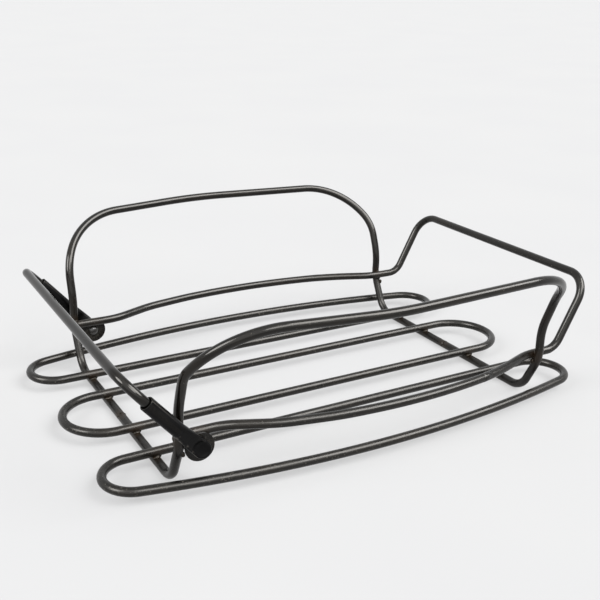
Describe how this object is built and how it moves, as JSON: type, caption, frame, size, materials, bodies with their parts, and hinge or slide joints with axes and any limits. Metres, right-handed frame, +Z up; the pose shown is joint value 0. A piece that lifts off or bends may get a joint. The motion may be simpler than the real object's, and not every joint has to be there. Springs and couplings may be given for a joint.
{
  "type": "wire roasting rack",
  "caption": "Open roasting rack of bent round wire: looped base, side hoops, a raised fixed end handle and a swinging bail handle riveted to hinge lugs.",
  "frame": {"origin": "on the table under the rack, midway between the two crossbars and on the centre plane between the two sides", "axes": "+X along the rack towards the fixed end handle, +Y towards the back side, +Z up"},
  "size_m": [0.3068, 0.2599, 0.0949],
  "materials": {
    "grid_wire": "semi-gloss black enamel over steel wire, lightly streaked",
    "hoop_wire": "semi-gloss black enamel over steel wire",
    "rail_wire": "semi-gloss black enamel over steel wire",
    "hinge_lug": "satin black enamel over steel sheet",
    "hinge_rivet": "satin black enamel over steel, slightly rubbed",
    "handle_sleeve": "satin black enamel over steel tube",
    "bail_wire": "semi-gloss black enamel over steel wire"
  },
  "bodies": {
    "rack": {"middle_base_loop": "grid_wire", "front_base_loop": "grid_wire", "back_base_loop": "grid_wire", "front_hoop_and_legs": "hoop_wire", "back_hoop_and_legs": "hoop_wire", "side_rail": "rail_wire", "front_hinge_lug": "hinge_lug", "back_hinge_lug": "hinge_lug"},
    "handle": {"bail_wire": "bail_wire", "front_handle_sleeve": "handle_sleeve", "back_handle_sleeve": "handle_sleeve", "front_hinge_rivet": "hinge_rivet", "back_hinge_rivet": "hinge_rivet"}
  },
  "joints": [
    {"name": "bail_hinge", "type": "hinge", "parent": "rack", "child": "handle", "pos_m": [-0.1037, 0, 0.02315], "axis": [0, 1, 0], "range_deg": [-68, 6]}
  ]
}
